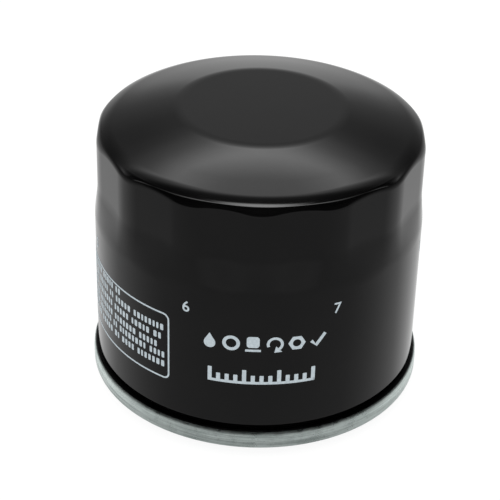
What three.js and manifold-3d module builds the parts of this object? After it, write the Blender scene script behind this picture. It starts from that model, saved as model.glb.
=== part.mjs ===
// A spin-on engine oil filter: a pressed steel can seamed onto a threaded base, with the
// filter element, its bypass valve and the anti-drainback valve inside.
//
// Millimetres, +Z up. The origin is the centre of the gasket's sealing face and the
// domed end is up. A ridge between two wrench flats faces -Y, and a flat faces +X.

import * as THREE from 'three';
import { mergeVertices } from 'three/addons/utils/BufferGeometryUtils.js';
import Module from 'manifold-3d';

const wasm = await Module();
wasm.setup();

// ---------------------------------------------------------------- driving dimensions

const SHEET = 0.45;               // sheet steel of the can, cover and end caps
const SEAT_GAP = 0.1;             // clearance between pieces that rest on each other

const SEAM_RADIUS = 34;           // outside of the rolled seam
const SEAM_BOTTOM = 2;
const SEAM_TOP = 5.95;
const CAN_RADIUS = 33.05;
const ROOF_Z = 60.1;              // flat top of the dome

const WRENCH_FLATS = 14;
const ACROSS_FLATS = 64.2;
const RIDGE_RADIUS = 32.6;        // the ridges between flats are rounded down to this
const FLAT_START_Z = 37.5;        // the flats fade in above this height
const FLAT_FULL_Z = 44.5;

const SHOULDER_RADIUS = 31.37;    // the roll from wall to dome ends here, 60 degrees round
const SHOULDER_Z = 55.85;
const DOME_BEND = [22, 58.83];    // radius and height where the dome's cone steepens
const ROOF_RADIUS = 15;

const PLATE_Z = 5.25;             // underside of the tapping plate
const PLATE_THICKNESS = 3;
const PLATE_RADIUS = 31;
const HUB_RADIUS = 12.2;
const HUB_TOP = 12;
const THREAD_BORE = 9.19;         // minor radius of the M20 x 1.5 thread
const INLETS = 8;
const INLET_RADIUS = 2.75;
const INLET_CIRCLE = 17.5;

const GASKET_INNER = 27;
const GASKET_OUTER = 31.1;
const GASKET_HEIGHT = 4.5;

const ELEMENT_BOTTOM = 12.4;      // underside of the lower end cap
const ELEMENT_TOP = 49.2;         // top of the upper end cap
const CAP_RADIUS = 29;
const CAP_HOLE = 12.5;
const CAP_RIM = 3;
const CAP_COLLAR = 2.5;
const TUBE_RADIUS = 13.1;         // inside of the perforated centre tube
const TUBE_WALL = 0.6;
const ADHESIVE = 1;               // depth of the adhesive that pots the paper
const PLEATS = 40;
const PLEAT_OUTER = 27.6;
const PLEAT_INNER = 14;
const PLEAT_TIP = 3.6;            // radial thickness of the folded paper

const PORT_RADIUS = 5.5;          // bypass port in the seat plate
const SEAT_PLATE = 0.6;
const CAGE_RADIUS = 10.45;
const CAGE_BOTTOM = 38;
const POPPET_RADIUS = 9;
const STEM_RADIUS = 1.2;

const CAN_FACETS = 3 * WRENCH_FLATS;
const ELEMENT_FACETS = 32;
const VALVE_FACETS = 24;

// ------------------------------------------------------------------------- materials

function material(color, roughness, metalness) {
  return new THREE.MeshStandardMaterial({ color, roughness, metalness });
}

const blackPaint = material(0x141417, 0.18, 0.0);
const zincSteel = material(0xb4b8b0, 0.38, 0.95);
const plainSteel = material(0x9a9c9e, 0.45, 0.95);
const springSteel = material(0x6f7276, 0.35, 0.95);
const nitrileRubber = material(0x17181a, 0.7, 0.0);
const siliconeRubber = material(0xa8502c, 0.6, 0.0);
const filterPaper = material(0xd9c98f, 0.9, 0.0);
const adhesiveResin = material(0x8a4436, 0.6, 0.0);
const sealant = material(0x86785c, 0.7, 0.0);

// --------------------------------------------------------------------------- helpers

const filter = new THREE.Group();
filter.name = 'spin_on_oil_filter';

function part(name, geometry, surface) {
  const mesh = new THREE.Mesh(geometry, surface);
  mesh.name = name;
  filter.add(mesh);
}

function toVectors(points) {
  return points.map(([radius, z]) => new THREE.Vector2(radius, z));
}

// A lathe about +Z; the outline runs anticlockwise from the axis back to the axis.
function turned(points, facets) {
  const geometry = new THREE.LatheGeometry(toVectors(points), facets);
  return geometry.rotateX(Math.PI / 2);
}

// The same for an outline that closes on itself, which leaves a hole on the axis.
function ring(points, facets) {
  return turned([...points, points[0]], facets);
}

function band(inner, outer, bottom, top, facets) {
  const outline = [[inner, bottom], [outer, bottom], [outer, top], [inner, top]];
  return ring(outline, facets);
}

function arc(radius, z, size, from, to, steps) {
  const points = [];
  for (let i = 0; i <= steps; i += 1) {
    const angle = from + ((to - from) * i) / steps;
    points.push([radius + size * Math.cos(angle), z + size * Math.sin(angle)]);
  }
  return points;
}

function solidOf(geometry) {
  const bare = geometry.clone();
  bare.deleteAttribute('normal');
  bare.deleteAttribute('uv');
  const merged = mergeVertices(bare);
  const triVerts = [];
  const index = merged.index.array;
  for (let i = 0; i < index.length; i += 3) {
    const [a, b, c] = [index[i], index[i + 1], index[i + 2]];
    if (a !== b && b !== c && c !== a) {
      triVerts.push(a, b, c);
    }
  }
  return new wasm.Manifold(new wasm.Mesh({
    numProp: 3,
    vertProperties: new Float32Array(merged.attributes.position.array),
    triVerts: new Uint32Array(triVerts),
  }));
}

function geometryOf(solid) {
  const { vertProperties, triVerts } = solid.getMesh();
  const geometry = new THREE.BufferGeometry();
  geometry.setAttribute('position', new THREE.BufferAttribute(vertProperties, 3));
  geometry.setIndex(new THREE.BufferAttribute(triVerts, 1));
  geometry.computeVertexNormals();
  return geometry;
}

function cut(body, tools) {
  const carved = tools.reduce((left, tool) => left.subtract(solidOf(tool)), solidOf(body));
  return geometryOf(carved);
}

// A helix that climbs slowly at both ends, as the closed ends of a coil spring do.
class CoilCurve extends THREE.Curve {
  constructor(bottomRadius, topRadius, bottom, top, turns, endEase) {
    super();
    Object.assign(this, { bottomRadius, topRadius, bottom, top, turns, endEase });
  }

  getPoint(t) {
    const eased = THREE.MathUtils.lerp(t, THREE.MathUtils.smoothstep(t, 0, 1), this.endEase);
    const radius = THREE.MathUtils.lerp(this.bottomRadius, this.topRadius, eased);
    const angle = 2 * Math.PI * this.turns * t;
    const z = THREE.MathUtils.lerp(this.bottom, this.top, eased);
    return new THREE.Vector3(radius * Math.cos(angle), radius * Math.sin(angle), z);
  }
}

function coilSpring(curve, wireRadius, stepsPerTurn) {
  const section = new THREE.Shape();
  const sides = 6;
  for (let i = 0; i < sides; i += 1) {
    const angle = (2 * Math.PI * i) / sides;
    const [x, y] = [wireRadius * Math.cos(angle), wireRadius * Math.sin(angle)];
    if (i === 0) {
      section.moveTo(x, y);
    } else {
      section.lineTo(x, y);
    }
  }
  section.closePath();
  const steps = Math.round(curve.turns * stepsPerTurn);
  return new THREE.ExtrudeGeometry(section, { steps, extrudePath: curve });
}

// ------------------------------------------------------------------------- outer can

// How much of the wrench flats' shape a point of the can's outline takes, 0 to 1: none low
// on the wall, all of it on the upper wall, and less and less round the shoulder.
function flatShare(radius, z) {
  const onWall = THREE.MathUtils.smoothstep(z, FLAT_START_Z, FLAT_FULL_Z);
  const onDome = (radius - SHOULDER_RADIUS + SHEET) / (CAN_RADIUS - SHOULDER_RADIUS);
  return onWall * THREE.MathUtils.clamp(onDome, 0, 1);
}

function pressFlats(geometry) {
  const places = geometry.attributes.position;
  const flatWidth = (2 * Math.PI) / WRENCH_FLATS;
  for (let i = 0; i < places.count; i += 1) {
    const [x, y, z] = [places.getX(i), places.getY(i), places.getZ(i)];
    const radius = Math.hypot(x, y);
    if (radius > 0) {
      const turn = THREE.MathUtils.euclideanModulo(Math.atan2(x, -y), flatWidth);
      const flat = ACROSS_FLATS / 2 / Math.cos(turn - flatWidth / 2);
      const flatRadius = Math.min(flat, RIDGE_RADIUS);
      const scale = THREE.MathUtils.lerp(1, flatRadius / CAN_RADIUS, flatShare(radius, z));
      places.setX(i, x * scale);
      places.setY(i, y * scale);
    }
  }
  geometry.computeVertexNormals();
  return geometry;
}

const neckRadius = CAN_RADIUS - 0.75;       // the wall steps in to meet the seam
const hookInner = SEAM_RADIUS - 2 * SHEET - SEAT_GAP;
const flangeZ = SEAM_BOTTOM + 0.95;

function outerCan() {
  const rollEnd = Math.PI / 3;
  const roll = (CAN_RADIUS - SHOULDER_RADIUS) / (1 - Math.cos(rollEnd));
  const rollZ = SHOULDER_Z - roll * Math.sin(rollEnd);
  const outside = [
    [neckRadius - SHEET, flangeZ],
    [hookInner + SHEET, flangeZ],
    [hookInner + SHEET, SEAM_TOP - 1.05],
    [hookInner, SEAM_TOP - 1.05],
    [hookInner, flangeZ + SHEET],
    [neckRadius, flangeZ + SHEET],
    [neckRadius, SEAM_TOP + 0.35],
    [CAN_RADIUS, SEAM_TOP + 1.55],
    [CAN_RADIUS, FLAT_START_Z],
    [CAN_RADIUS, (FLAT_START_Z + FLAT_FULL_Z) / 2],
    [CAN_RADIUS, FLAT_FULL_Z],
    ...arc(CAN_RADIUS - roll, rollZ, roll, 0, rollEnd, 3),
    [SHOULDER_RADIUS - 1.8, SHOULDER_Z + 0.78],
    DOME_BEND,
    [ROOF_RADIUS + 2.7, ROOF_Z - 0.3],
    [ROOF_RADIUS, ROOF_Z],
    [0, ROOF_Z],
  ];
  const inside = [
    [0, ROOF_Z - SHEET],
    [ROOF_RADIUS, ROOF_Z - SHEET],
    [ROOF_RADIUS + 2.6, ROOF_Z - 0.3 - SHEET],
    [DOME_BEND[0] - 0.1, DOME_BEND[1] - SHEET],
    [SHOULDER_RADIUS - 2, SHOULDER_Z + 0.35],
    ...arc(CAN_RADIUS - roll, rollZ, roll - SHEET, rollEnd, 0, 3),
    [CAN_RADIUS - SHEET, FLAT_FULL_Z],
    [CAN_RADIUS - SHEET, (FLAT_START_Z + FLAT_FULL_Z) / 2],
    [CAN_RADIUS - SHEET, FLAT_START_Z],
    [CAN_RADIUS - SHEET, SEAM_TOP + 1.65],
    [neckRadius - SHEET, SEAM_TOP + 0.45],
  ];
  return pressFlats(ring([...outside, ...inside], CAN_FACETS));
}

part('outer_can', outerCan(), blackPaint);

// ------------------------------------------------------------ seaming cover and seam

const chuckWall = neckRadius - SHEET - SEAT_GAP;   // cover wall just inside the can
const coverZ = 4.65;                               // underside of the cover's flat
const coverHole = 22;

function seamingLid() {
  const edge = 0.3;
  const beadRadius = 25.8;
  const beadDepth = 1.45;
  const hookOuter = hookInner - SEAT_GAP;
  const curl = SEAM_RADIUS - SHEET;
  const outline = [
    [coverHole, coverZ],
    [beadRadius - 0.9, coverZ],
    [beadRadius - 0.3, coverZ - beadDepth],
    [beadRadius + 0.3, coverZ - beadDepth],
    [beadRadius + 0.9, coverZ],
    [chuckWall - SHEET, coverZ],
    [chuckWall - SHEET, SEAM_BOTTOM + edge],
    [chuckWall - SHEET + edge, SEAM_BOTTOM],
    [SEAM_RADIUS - edge, SEAM_BOTTOM],
    [SEAM_RADIUS, SEAM_BOTTOM + edge],
    [SEAM_RADIUS, SEAM_TOP - edge],
    [SEAM_RADIUS - edge, SEAM_TOP],
    [hookOuter - SHEET + edge, SEAM_TOP],
    [hookOuter - SHEET, SEAM_TOP - edge],
    [hookOuter - SHEET, flangeZ + 2 * SHEET],
    [hookOuter, flangeZ + 2 * SHEET],
    [hookOuter, SEAM_TOP - SHEET],
    [curl, SEAM_TOP - SHEET],
    [curl, SEAM_BOTTOM + SHEET],
    [chuckWall, SEAM_BOTTOM + SHEET],
    [chuckWall, coverZ + SHEET],
    [beadRadius + 0.7, coverZ + SHEET],
    [beadRadius + 0.15, coverZ + SHEET - beadDepth],
    [beadRadius - 0.15, coverZ + SHEET - beadDepth],
    [beadRadius - 0.7, coverZ + SHEET],
    [coverHole, coverZ + SHEET],
  ];
  return ring(outline, CAN_FACETS);
}

part('seaming_lid', seamingLid(), zincSteel);

const sealantZ = SEAM_BOTTOM + SHEET + SEAT_GAP;
const sealantBead = band(chuckWall + 0.3, hookInner + 0.3, sealantZ, flangeZ - SEAT_GAP, CAN_FACETS);
part('seam_sealant', sealantBead, sealant);

// -------------------------------------------------------------------- tapping plate

function tappingPlate() {
  const plateTop = PLATE_Z + PLATE_THICKNESS;
  const leadIn = 0.9;
  const outline = [
    [THREAD_BORE + leadIn, PLATE_Z],
    [PLATE_RADIUS, PLATE_Z],
    [PLATE_RADIUS, plateTop],
    [HUB_RADIUS + 1.6, plateTop],
    [HUB_RADIUS, plateTop + 1.4],
    [HUB_RADIUS, HUB_TOP],
    [THREAD_BORE + leadIn, HUB_TOP],
    [THREAD_BORE, HUB_TOP - leadIn],
    [THREAD_BORE, PLATE_Z + leadIn],
  ];
  const inlets = [];
  for (let i = 0; i < INLETS; i += 1) {
    const angle = (2 * Math.PI * i) / INLETS;
    const inlet = new THREE.CylinderGeometry(INLET_RADIUS, INLET_RADIUS, 3 * PLATE_THICKNESS, 12);
    inlet.rotateX(Math.PI / 2);
    inlet.translate(INLET_CIRCLE * Math.sin(angle), -INLET_CIRCLE * Math.cos(angle), plateTop);
    inlets.push(inlet);
  }
  return cut(ring(outline, CAN_FACETS), inlets);
}

part('tapping_plate', tappingPlate(), plainSteel);

// --------------------------------------------------------------------------- rubbers

function sealingGasket() {
  const edge = 0.45;
  const outline = [
    [GASKET_INNER + edge, 0],
    [GASKET_OUTER - edge, 0],
    [GASKET_OUTER, edge],
    [GASKET_OUTER, GASKET_HEIGHT],
    [GASKET_INNER, GASKET_HEIGHT],
    [GASKET_INNER, edge],
  ];
  return ring(outline, CAN_FACETS);
}

part('sealing_gasket', sealingGasket(), nitrileRubber);

// A rubber diaphragm: its collar seals hub to element, its lip covers the inlet holes.
function antiDrainbackValve() {
  const lipZ = PLATE_Z + PLATE_THICKNESS + 0.15;
  const collar = HUB_RADIUS + 0.25;
  const collarTop = ELEMENT_BOTTOM - 0.2;
  const outline = [
    [collar, lipZ + 1.7],
    [collar + 1.7, lipZ + 1.6],
    [21.6, lipZ],
    [23.4, lipZ],
    [23.4, lipZ + 0.8],
    [21.8, lipZ + 0.9],
    [collar + 2.1, lipZ + 2.5],
    [collar + 1.2, collarTop],
    [collar, collarTop],
  ];
  return ring(outline, ELEMENT_FACETS);
}

part('anti_drainback_valve', antiDrainbackValve(), siliconeRubber);

// -------------------------------------------------------------------- filter element

function lowerEndCap() {
  const top = ELEMENT_BOTTOM + SHEET;
  const outline = [
    [CAP_HOLE, ELEMENT_BOTTOM],
    [CAP_RADIUS, ELEMENT_BOTTOM],
    [CAP_RADIUS, ELEMENT_BOTTOM + CAP_RIM],
    [CAP_RADIUS - SHEET, ELEMENT_BOTTOM + CAP_RIM],
    [CAP_RADIUS - SHEET, top],
    [CAP_HOLE + SHEET, top],
    [CAP_HOLE + SHEET, ELEMENT_BOTTOM + CAP_COLLAR],
    [CAP_HOLE, ELEMENT_BOTTOM + CAP_COLLAR],
  ];
  return ring(outline, ELEMENT_FACETS);
}

function upperEndCap() {
  const underside = ELEMENT_TOP - SHEET;
  const outline = [
    [CAP_HOLE, ELEMENT_TOP - CAP_COLLAR],
    [CAP_HOLE + SHEET, ELEMENT_TOP - CAP_COLLAR],
    [CAP_HOLE + SHEET, underside],
    [CAP_RADIUS - SHEET, underside],
    [CAP_RADIUS - SHEET, ELEMENT_TOP - CAP_RIM],
    [CAP_RADIUS, ELEMENT_TOP - CAP_RIM],
    [CAP_RADIUS, ELEMENT_TOP],
    [CAP_HOLE, ELEMENT_TOP],
  ];
  return ring(outline, ELEMENT_FACETS);
}

part('lower_end_cap', lowerEndCap(), plainSteel);
part('upper_end_cap', upperEndCap(), plainSteel);

const tubeBottom = ELEMENT_BOTTOM + SHEET + SEAT_GAP;
const tubeTop = ELEMENT_TOP - SHEET - SEAT_GAP;
const tubeOuter = TUBE_RADIUS + TUBE_WALL;

function centerTube() {
  const rows = 4;
  const throughHoles = 4;
  const holeRadius = 2.1;
  const holes = [];
  for (let row = 0; row < rows; row += 1) {
    const z = tubeBottom + ((tubeTop - tubeBottom) * (row + 1)) / (rows + 1);
    for (let i = 0; i < throughHoles; i += 1) {
      const hole = new THREE.CylinderGeometry(holeRadius, holeRadius, 4 * tubeOuter, 6);
      hole.rotateZ((Math.PI * (i + (row % 2) / 2)) / throughHoles);
      hole.translate(0, 0, z);
      holes.push(hole);
    }
  }
  return cut(band(TUBE_RADIUS, tubeOuter, tubeBottom, tubeTop, ELEMENT_FACETS), holes);
}

part('center_tube', centerTube(), plainSteel);

const pottingInner = tubeOuter + 0.15;
const pottingOuter = CAP_RADIUS - SHEET - 0.15;
const lowerPotting = [tubeBottom, tubeBottom + ADHESIVE];
const upperPotting = [tubeTop - ADHESIVE, tubeTop];
part('lower_adhesive', band(pottingInner, pottingOuter, ...lowerPotting, ELEMENT_FACETS), adhesiveResin);
part('upper_adhesive', band(pottingInner, pottingOuter, ...upperPotting, ELEMENT_FACETS), adhesiveResin);

const paperBottom = lowerPotting[1] + SEAT_GAP;
const paperTop = upperPotting[0] - SEAT_GAP;

// A closed zigzag, one point at each fold; the first outer fold points to -Y.
function pleatOutline(path, outerRadius, innerRadius) {
  for (let fold = 0; fold < 2 * PLEATS; fold += 1) {
    const radius = fold % 2 === 0 ? outerRadius : innerRadius;
    const angle = (Math.PI * fold) / PLEATS;
    const [x, y] = [radius * Math.sin(angle), -radius * Math.cos(angle)];
    if (fold === 0) {
      path.moveTo(x, y);
    } else {
      path.lineTo(x, y);
    }
  }
  path.closePath();
  return path;
}

function pleatedMedia() {
  const paper = pleatOutline(new THREE.Shape(), PLEAT_OUTER, PLEAT_INNER + PLEAT_TIP);
  paper.holes.push(pleatOutline(new THREE.Path(), PLEAT_OUTER - PLEAT_TIP, PLEAT_INNER));
  const geometry = new THREE.ExtrudeGeometry(paper, {
    depth: paperTop - paperBottom,
    bevelEnabled: false,
  });
  return geometry.translate(0, 0, paperBottom);
}

part('pleated_media', pleatedMedia(), filterPaper);

// The steel strip folded over the pleat where the two ends of the paper meet.
function mediaSeamClip() {
  const [slot, wall, depth, end] = [0.65, 0.3, 3, 0.25];
  const back = -(PLEAT_OUTER + 0.15 + wall);
  const outline = [
    [-slot - wall, back],
    [slot + wall, back],
    [slot + wall, back + depth],
    [slot, back + depth],
    [slot, back + wall],
    [-slot, back + wall],
    [-slot, back + depth],
    [-slot - wall, back + depth],
  ];
  const shape = new THREE.Shape(toVectors(outline));
  const clipDepth = paperTop - paperBottom - 2 * end;
  const geometry = new THREE.ExtrudeGeometry(shape, { depth: clipDepth, bevelEnabled: false });
  return geometry.translate(0, 0, paperBottom + end);
}

part('media_seam_clip', mediaSeamClip(), zincSteel);

// ---------------------------------------------------------------------- bypass valve

const cageFlangeZ = ELEMENT_TOP + SEAT_GAP;
const seatZ = cageFlangeZ + SHEET + SEAT_GAP;
const seatLip = 0.35;                                // the seat's raised ring hangs this low
const packingTop = seatZ - seatLip - SEAT_GAP;
const packingBottom = packingTop - 1.05;
const poppetTop = packingBottom - SEAT_GAP;
const poppetBottom = poppetTop - 0.5;

function bypassSeatPlate() {
  const outline = [
    [PORT_RADIUS, seatZ],
    [PORT_RADIUS + 0.5, seatZ - seatLip],
    [PORT_RADIUS + 1.1, seatZ - seatLip],
    [PORT_RADIUS + 1.6, seatZ],
    [14.5, seatZ],
    [14.5, seatZ + SEAT_PLATE],
    [PORT_RADIUS, seatZ + SEAT_PLATE],
  ];
  return ring(outline, VALVE_FACETS);
}

function bypassValveCage() {
  const flange = 15.5;
  const guideHole = STEM_RADIUS + 0.5;
  const outline = [
    [guideHole, CAGE_BOTTOM],
    [CAGE_RADIUS, CAGE_BOTTOM],
    [CAGE_RADIUS, cageFlangeZ],
    [flange, cageFlangeZ],
    [flange, cageFlangeZ + SHEET],
    [CAGE_RADIUS - SHEET, cageFlangeZ + SHEET],
    [CAGE_RADIUS - SHEET, CAGE_BOTTOM + SHEET],
    [guideHole, CAGE_BOTTOM + SHEET],
  ];
  const [windowWidth, windowHeight] = [7, 5];
  const windows = [0, Math.PI / 2].map((turn) => {
    const window = new THREE.BoxGeometry(4 * CAGE_RADIUS, windowWidth, windowHeight);
    window.rotateZ(turn);
    return window.translate(0, 0, CAGE_BOTTOM + 3 + windowHeight / 2);
  });
  return cut(ring(outline, VALVE_FACETS), windows);
}

function bypassPoppet() {
  const bore = STEM_RADIUS + 0.15;
  const rim = POPPET_RADIUS - SHEET;
  const outline = [
    [bore, poppetBottom],
    [rim, poppetBottom],
    [rim, poppetBottom - 1.15],
    [POPPET_RADIUS, poppetBottom - 1.15],
    [POPPET_RADIUS, poppetTop],
    [bore, poppetTop],
  ];
  return ring(outline, VALVE_FACETS);
}

// The rivet clamps the packing to the poppet, and its long stem slides in the cage.
function poppetRivet() {
  const headZ = packingTop + SEAT_GAP;
  const shoulderTop = poppetBottom - SEAT_GAP;
  const tail = CAGE_BOTTOM - 4.5;
  const outline = [
    [0, tail],
    [STEM_RADIUS - 0.4, tail],
    [STEM_RADIUS, tail + 0.5],
    [STEM_RADIUS, shoulderTop - 1.1],
    [STEM_RADIUS + 1, shoulderTop - 1.1],
    [STEM_RADIUS + 1, shoulderTop],
    [STEM_RADIUS, shoulderTop],
    [STEM_RADIUS, headZ],
    [STEM_RADIUS + 1.4, headZ],
    [STEM_RADIUS + 1.1, headZ + 0.6],
    [0, headZ + 0.8],
  ];
  return turned(outline, 16);
}

part('bypass_seat_plate', bypassSeatPlate(), plainSteel);
part('bypass_valve_cage', bypassValveCage(), plainSteel);
part('bypass_poppet', bypassPoppet(), plainSteel);
const packing = band(STEM_RADIUS + 0.15, POPPET_RADIUS - 0.4, packingBottom, packingTop, VALVE_FACETS);
part('bypass_packing', packing, nitrileRubber);
part('poppet_rivet', poppetRivet(), plainSteel);

// --------------------------------------------------------------------------- springs

// A coil spring that fills the space between two faces, a seat gap clear of each.
function springBetween(lowFace, highFace, bottomRadius, topRadius, turns, wireRadius) {
  const inset = SEAT_GAP + wireRadius;
  const helix = new CoilCurve(bottomRadius, topRadius, lowFace + inset, highFace - inset, turns, 0.3);
  return coilSpring(helix, wireRadius, 14);
}

const bypassCoil = springBetween(CAGE_BOTTOM + SHEET, poppetBottom, 6.6, 6.6, 4.5, 0.55);
part('bypass_spring', bypassCoil, springSteel);

const holdDownCoil = springBetween(seatZ + SEAT_PLATE, ROOF_Z - SHEET, 12.6, 10.6, 3, 0.8);
part('hold_down_spring', holdDownCoil, springSteel);

export default filter;
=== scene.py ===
"""A spin-on oil filter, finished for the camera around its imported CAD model.

Lengths are in millimetres in this script and in metres in Blender: MM converts. A turned
piece is an outline of (radius, z) corners, anticlockwise, revolved about +Z. Angles round
the filter are measured from -Y, the camera's side, towards +X.
"""

import math
import random

import bmesh
import bpy
from mathutils import Matrix, Vector


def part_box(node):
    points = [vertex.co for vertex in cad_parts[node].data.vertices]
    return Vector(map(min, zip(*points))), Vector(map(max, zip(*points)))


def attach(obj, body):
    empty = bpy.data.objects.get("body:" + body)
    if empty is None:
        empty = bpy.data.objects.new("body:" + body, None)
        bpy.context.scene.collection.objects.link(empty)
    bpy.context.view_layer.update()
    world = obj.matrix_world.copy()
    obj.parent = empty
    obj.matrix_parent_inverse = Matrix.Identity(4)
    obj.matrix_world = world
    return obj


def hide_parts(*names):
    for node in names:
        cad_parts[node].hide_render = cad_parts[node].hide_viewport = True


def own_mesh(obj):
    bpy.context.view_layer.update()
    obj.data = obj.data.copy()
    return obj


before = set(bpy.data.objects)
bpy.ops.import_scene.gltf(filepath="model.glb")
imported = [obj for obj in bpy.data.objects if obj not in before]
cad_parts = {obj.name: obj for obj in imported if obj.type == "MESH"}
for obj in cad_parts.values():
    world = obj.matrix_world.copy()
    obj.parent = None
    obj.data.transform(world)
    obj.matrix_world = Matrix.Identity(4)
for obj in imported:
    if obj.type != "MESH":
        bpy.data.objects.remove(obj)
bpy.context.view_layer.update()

MM = 0.001

# ------------------------------------------------------------------ sizes from the frame


def low(node):
    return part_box(node)[0].z / MM


def high(node):
    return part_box(node)[1].z / MM


def reach(node):
    """A turned node's outer radius: one corner of its facets lies on +Y."""
    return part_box(node)[1].y / MM


SHEET = 0.45
GAP = 0.1
SEAM_RADIUS = reach("seaming_lid")
SEAM_BOTTOM = low("seaming_lid")
SEAM_TOP = high("seaming_lid")
CAN_RADIUS = SEAM_RADIUS - 0.95
CAN_TOP = high("outer_can")
NECK_RADIUS = CAN_RADIUS - 0.75
HOOK_RADIUS = SEAM_RADIUS - 2 * SHEET - GAP
FLANGE = SEAM_BOTTOM + 0.95
FLATS = 14
FLAT_APOTHEM = 32.1
FLAT_START = CAN_TOP - 22.6
FLAT_FULL = CAN_TOP - 15.6
RIDGE_ROUNDING = 14.0
PLATE_BOTTOM = low("tapping_plate")
PLATE_TOP = PLATE_BOTTOM + 3
HUB_TOP = high("tapping_plate")
THREAD_MINOR = 9.19
THREAD_DEPTH = 0.81
THREAD_PITCH = 1.5
LEAD_IN = 0.9
INLETS = 8
ELEMENT_BOTTOM = low("lower_end_cap")
ELEMENT_TOP = high("upper_end_cap")
CAP_RADIUS = reach("lower_end_cap")
PLEATS = 40
CAGE_BOTTOM = low("bypass_valve_cage")
SEAT_TOP = high("bypass_seat_plate")

# ------------------------------------------------------------------------------- camera

CAMERA_TURN = math.radians(-0.95)
CAMERA_DISTANCE = 342.0
CAMERA_ELEVATION = math.radians(31.44)
CAMERA_ROLL = math.radians(1.755)
CAMERA_LENS = 120.65
AIM_HEIGHT = 32.0
AIM_RIGHT = -0.0049
AIM_UP = -0.01305


def photo_camera():
    """A camera at the photograph's angle, turned a little off its aim as the picture is framed."""
    back = at(1, 0, CAMERA_TURN) * math.cos(CAMERA_ELEVATION)
    back.z = math.sin(CAMERA_ELEVATION)
    view = Matrix.Translation((back * CAMERA_DISTANCE + Vector((0, 0, AIM_HEIGHT))) * MM)
    upright = (-back).to_track_quat("-Z", "Y").to_matrix().to_4x4()
    roll = Matrix.Rotation(CAMERA_ROLL, 4, "Z")
    pan = Matrix.Rotation(-AIM_RIGHT, 4, "Y")
    tilt = Matrix.Rotation(AIM_UP, 4, "X")
    data = bpy.data.cameras.new("photo_camera")
    data.lens = CAMERA_LENS
    data.sensor_width = 36
    data.clip_start = 0.01
    camera = bpy.data.objects.new("photo_camera", data)
    camera.matrix_world = view @ upright @ roll @ pan @ tilt
    bpy.context.scene.collection.objects.link(camera)
    bpy.context.scene.camera = camera


# ----------------------------------------------------------------------- mesh functions


def at(radius, z, angle):
    return Vector((radius * math.sin(angle), -radius * math.cos(angle), z))


def turn_between(before, here, after):
    """The direction into a corner, and the angle that the outline turns by there."""
    way, onward = (here - before).normalized(), (after - here).normalized()
    return way, math.atan2(way.x * onward.y - way.y * onward.x, way.dot(onward))


def rounded(corners, closed=True):
    """The outline's points with their outward normals, as (x, y, normal_x, normal_y).

    A corner is (x, y, fillet radius, steps); the last two may be left out.
    """
    spots = [Vector(corner[:2]) for corner in corners]
    count = len(spots)
    ends = () if closed else (0, count - 1)
    cuts = []
    for i, here in enumerate(spots):
        fillet = corners[i][2] if len(corners[i]) > 2 else 0.05
        turn = 0 if i in ends else turn_between(spots[i - 1], here, spots[(i + 1) % count])[1]
        cuts.append(fillet * math.tan(abs(turn) / 2))
    points = []
    for i, here in enumerate(spots):
        before, after = spots[i - 1], spots[(i + 1) % count]
        if i in ends:
            way = (after - here if i == 0 else here - before).normalized()
            points.append((here.x, here.y, way.y, -way.x))
            continue
        way, turn = turn_between(before, here, after)
        fits = [
            (here - other).length / (cuts[i] + cuts[j] + 1e-9)
            for other, j in ((before, i - 1), (after, (i + 1) % count))
        ]
        cut = cuts[i] * min(1, 0.98 * min(fits))
        size = cut / math.tan(abs(turn) / 2)
        side = 1 if turn > 0 else -1
        normal = Vector((way.y, -way.x))
        centre = here - way * cut - normal * size * side
        steps = corners[i][3] if len(corners[i]) > 3 else max(2, math.ceil(abs(turn) / 0.2))
        for k in range(steps + 1):
            spun = Matrix.Rotation(turn * k / steps, 2) @ normal
            spot = centre + spun * size * side
            points.append((spot.x, spot.y, spun.x, spun.y))
    return points


def pressed(path, thickness=SHEET):
    """The outline of a sheet whose right-hand side, along the path, has these corners."""
    face = rounded(path, closed=False)
    inner = [(x - nx * thickness, y - ny * thickness, -nx, -ny) for x, y, nx, ny in face]
    outline = face + sheet_end(face[-1], thickness) + inner[::-1]
    return outline + sheet_end(inner[0], thickness)


def sheet_end(point, thickness):
    """A rounded edge that leads from one side of a sheet to the other; none on the axis."""
    x, y, normal_x, normal_y = point
    if abs(x) < 1e-6:
        return []
    middle = Vector((x, y)) - Vector((normal_x, normal_y)) * thickness / 2
    result = []
    for k in range(1, 4):
        spun = Matrix.Rotation(math.pi * k / 4, 2) @ Vector((normal_x, normal_y))
        spot = middle + spun * thickness / 2
        result.append((spot.x, spot.y, spun.x, spun.y))
    return result


def shaped_normal(point, ahead, behind, angle, swing):
    """The normal of a surface whose outline changes with the angle."""
    along = at(-point[3], 0, angle) + Vector((0, 0, point[2]))
    around = at(*ahead[:2], angle + swing) - at(*behind[:2], angle - swing)
    return around.cross(along).normalized()


def revolve(name, outline, facets=128):
    """A turned mesh with exact normals. The outline is a list, or a function of the angle."""
    shaped = callable(outline)
    spots, normals, columns = [], [], []
    axis = {}
    swing = 1e-3
    for j in range(facets):
        angle = 2 * math.pi * j / facets
        points = outline(angle) if shaped else outline
        if shaped:
            ahead, behind = outline(angle + swing), outline(angle - swing)
        column = []
        for i, point in enumerate(points):
            on_axis = abs(point[0]) < 1e-6
            if on_axis and i in axis:
                column.append(axis[i])
                continue
            if on_axis:
                axis[i] = len(spots)
            column.append(len(spots))
            spots.append(at(point[0], point[1], angle) * MM)
            if shaped and not on_axis:
                normals.append(shaped_normal(point, ahead[i], behind[i], angle, swing))
            else:
                normals.append(at(point[2], point[3], angle).normalized())
        columns.append(column)
    faces = []
    for j, here in enumerate(columns):
        there = columns[(j + 1) % facets]
        for i, first in enumerate(here):
            k = (i + 1) % len(here)
            corners = list(dict.fromkeys((first, there[i], there[k], here[k])))
            if len(corners) > 2:
                faces.append(corners)
    return mesh_object(name, spots, faces, normals)


def turned(name, corners, facets=128):
    return revolve(name, rounded(corners), facets)


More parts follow.
